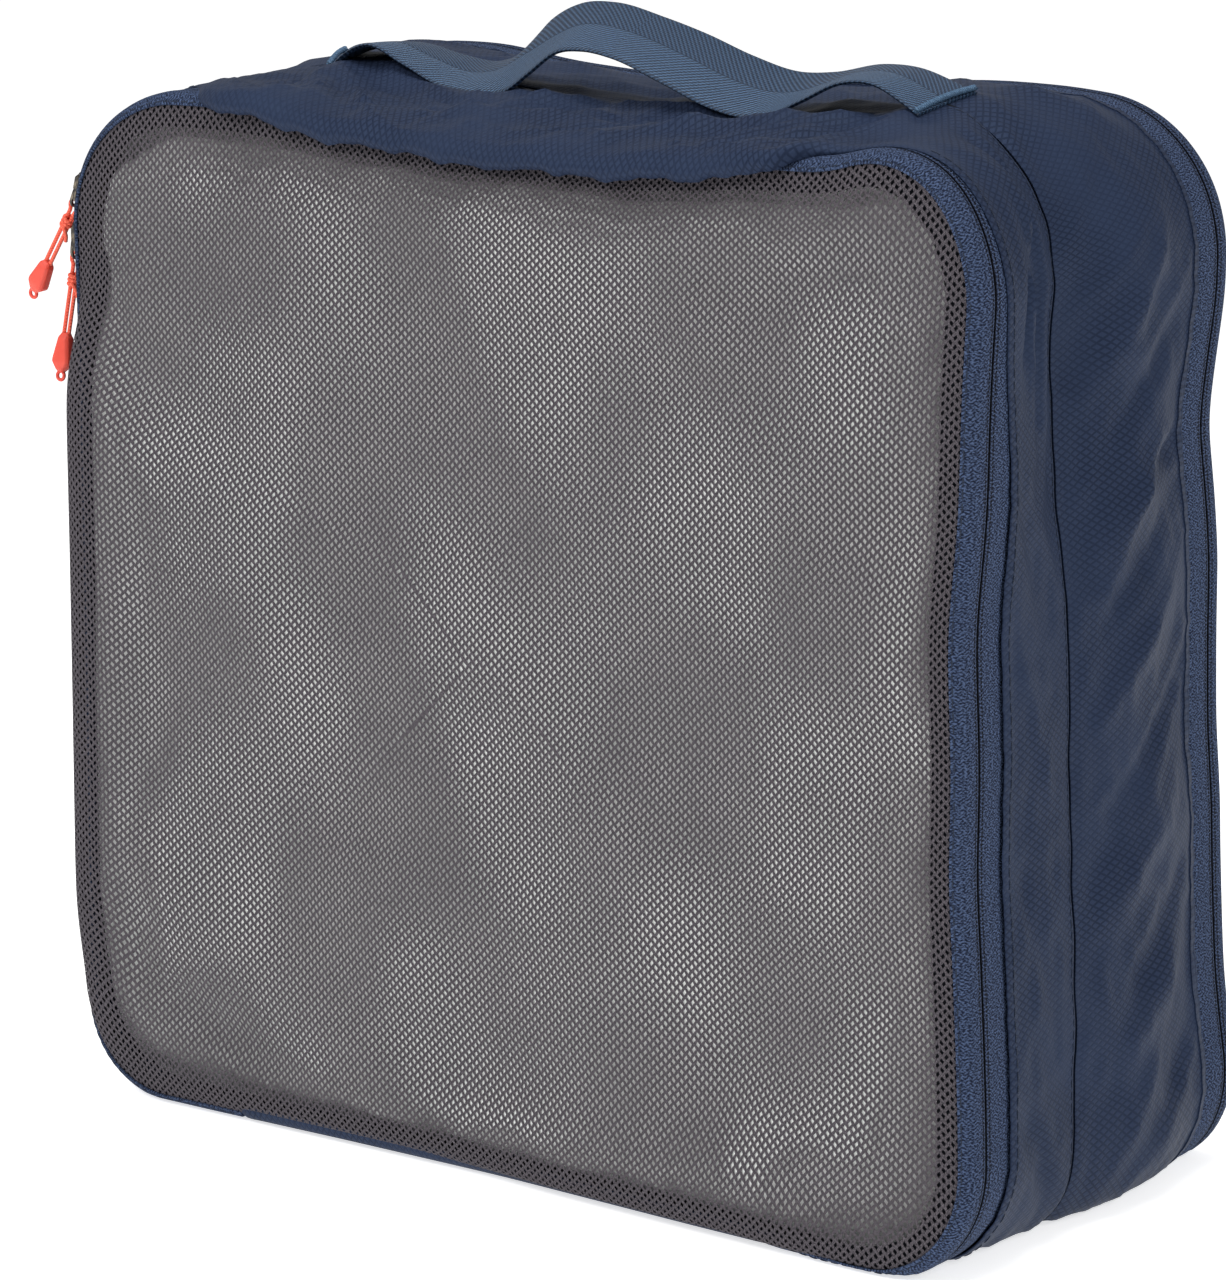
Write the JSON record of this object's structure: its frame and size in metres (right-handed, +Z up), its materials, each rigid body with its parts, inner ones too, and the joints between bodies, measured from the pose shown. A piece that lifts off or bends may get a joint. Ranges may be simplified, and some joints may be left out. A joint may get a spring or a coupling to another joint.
{
  "type": "packing cube",
  "caption": "Soft rectangular packing cube: mesh cover in front, fabric cover behind, three-sided zips, gusset sides, divider and a webbing carry handle on top.",
  "frame": {"origin": "on the base, under the middle of the cube's width and depth", "axes": "+Z up when the cube stands on its base; the mesh cover faces -Y and the fabric cover faces +Y; the sliders are parked on the -X side"},
  "size_m": [0.3908, 0.164, 0.3754],
  "materials": {
    "ripstop": "slate navy ripstop with a soft sheen",
    "mesh": "warm grey knitted mesh",
    "zip_tape": "matt navy woven tape",
    "zip_coil": "black nylon coil",
    "binding": "matt dark seam binding",
    "webbing": "steel blue twill webbing with a soft sheen",
    "thread": "light blue stitching thread",
    "metal": "dark gunmetal enamel",
    "pull_cord": "coral braided cord",
    "pull_end": "coral red moulded rubber, satin"
  },
  "bodies": {
    "cube_body": {"front_gusset": "ripstop", "rear_gusset": "ripstop", "centre_divider": "ripstop", "centre_seam_binding": "binding", "front_zip_inner_tape": "zip_tape", "front_zip_inner_coil": "zip_coil", "front_zip_stop_left": "metal", "front_zip_stop_right": "metal", "front_hinge_strip": "ripstop", "rear_zip_inner_tape": "zip_tape", "rear_zip_inner_coil": "zip_coil", "rear_zip_stop_left": "metal", "rear_zip_stop_right": "metal", "rear_hinge_strip": "ripstop", "handle_strap_left_end": "webbing", "handle_strap_right_end": "webbing", "handle_bartack_left": "thread", "handle_bartack_right": "thread"},
    "front_cover": {"mesh_panel": "mesh", "front_cover_binding": "binding", "front_zip_outer_tape": "zip_tape", "front_zip_outer_coil": "zip_coil"},
    "rear_cover": {"rear_panel": "ripstop", "rear_cover_binding": "binding", "rear_zip_outer_tape": "zip_tape", "rear_zip_outer_coil": "zip_coil"},
    "handle": {"handle_strap_grip": "webbing"},
    "front_upper_slider": {"front_upper_slider": "metal"},
    "front_upper_puller": {"front_upper_puller": "metal"},
    "front_upper_pull": {"front_upper_pull_cord": "pull_cord", "front_upper_pull_end": "pull_end"},
    "front_lower_slider": {"front_lower_slider": "metal"},
    "front_lower_puller": {"front_lower_puller": "metal"},
    "front_lower_pull": {"front_lower_pull_cord": "pull_cord", "front_lower_pull_end": "pull_end"},
    "rear_upper_slider": {"rear_upper_slider": "metal"},
    "rear_upper_puller": {"rear_upper_puller": "metal"},
    "rear_lower_slider": {"rear_lower_slider": "metal"},
    "rear_lower_puller": {"rear_lower_puller": "metal"}
  },
  "joints": [
    {"name": "front_cover_hinge", "type": "hinge", "parent": "cube_body", "child": "front_cover", "pos_m": [0, -0.082, 0], "axis": [1, 0, 0], "range_deg": [0, 90]},
    {"name": "rear_cover_hinge", "type": "hinge", "parent": "cube_body", "child": "rear_cover", "pos_m": [0, 0.082, 0], "axis": [-1, 0, 0], "range_deg": [0, 90]},
    {"name": "handle_swing", "type": "hinge", "parent": "cube_body", "child": "handle", "pos_m": [0, -0.0175, 0.356], "axis": [1, 0, 0], "range_deg": [-35, 35]},
    {"name": "front_upper_slider_travel", "type": "hinge", "parent": "cube_body", "child": "front_upper_slider", "pos_m": [-0.132, -0.071, 0.302], "axis": [0, 1, 0], "range_deg": [0, 66]},
    {"name": "front_upper_puller_hinge", "type": "hinge", "parent": "front_upper_slider", "child": "front_upper_puller", "pos_m": [-0.18158, -0.071, 0.31575], "axis": [0, 1, 0], "range_deg": [-6, 100]},
    {"name": "front_upper_pull_swing", "type": "hinge", "parent": "front_upper_puller", "child": "front_upper_pull", "pos_m": [-0.18478, -0.071, 0.30842], "axis": [0, 1, 0], "range_deg": [-5, 40]},
    {"name": "front_lower_slider_travel", "type": "slide", "parent": "cube_body", "child": "front_lower_slider", "axis": [0, 0, 1], "range_m": [-0.24, 0]},
    {"name": "front_lower_puller_hinge", "type": "hinge", "parent": "front_lower_slider", "child": "front_lower_puller", "pos_m": [-0.18345, -0.071, 0.2985], "axis": [0, 1, 0], "range_deg": [-3, 60]},
    {"name": "front_lower_pull_swing", "type": "hinge", "parent": "front_lower_puller", "child": "front_lower_pull", "pos_m": [-0.18456, -0.071, 0.29058], "axis": [0, 1, 0], "range_deg": [-4, 40]},
    {"name": "rear_upper_slider_travel", "type": "hinge", "parent": "cube_body", "child": "rear_upper_slider", "pos_m": [-0.132, 0.071, 0.302], "axis": [0, 1, 0], "range_deg": [0, 66]},
    {"name": "rear_upper_puller_hinge", "type": "hinge", "parent": "rear_upper_slider", "child": "rear_upper_puller", "pos_m": [-0.18158, 0.071, 0.31575], "axis": [0, 1, 0], "range_deg": [0, 150]},
    {"name": "rear_lower_slider_travel", "type": "slide", "parent": "cube_body", "child": "rear_lower_slider", "axis": [0, 0, 1], "range_m": [-0.24, 0]},
    {"name": "rear_lower_puller_hinge", "type": "hinge", "parent": "rear_lower_slider", "child": "rear_lower_puller", "pos_m": [-0.18345, 0.071, 0.2985], "axis": [0, 1, 0], "range_deg": [0, 150]}
  ]
}
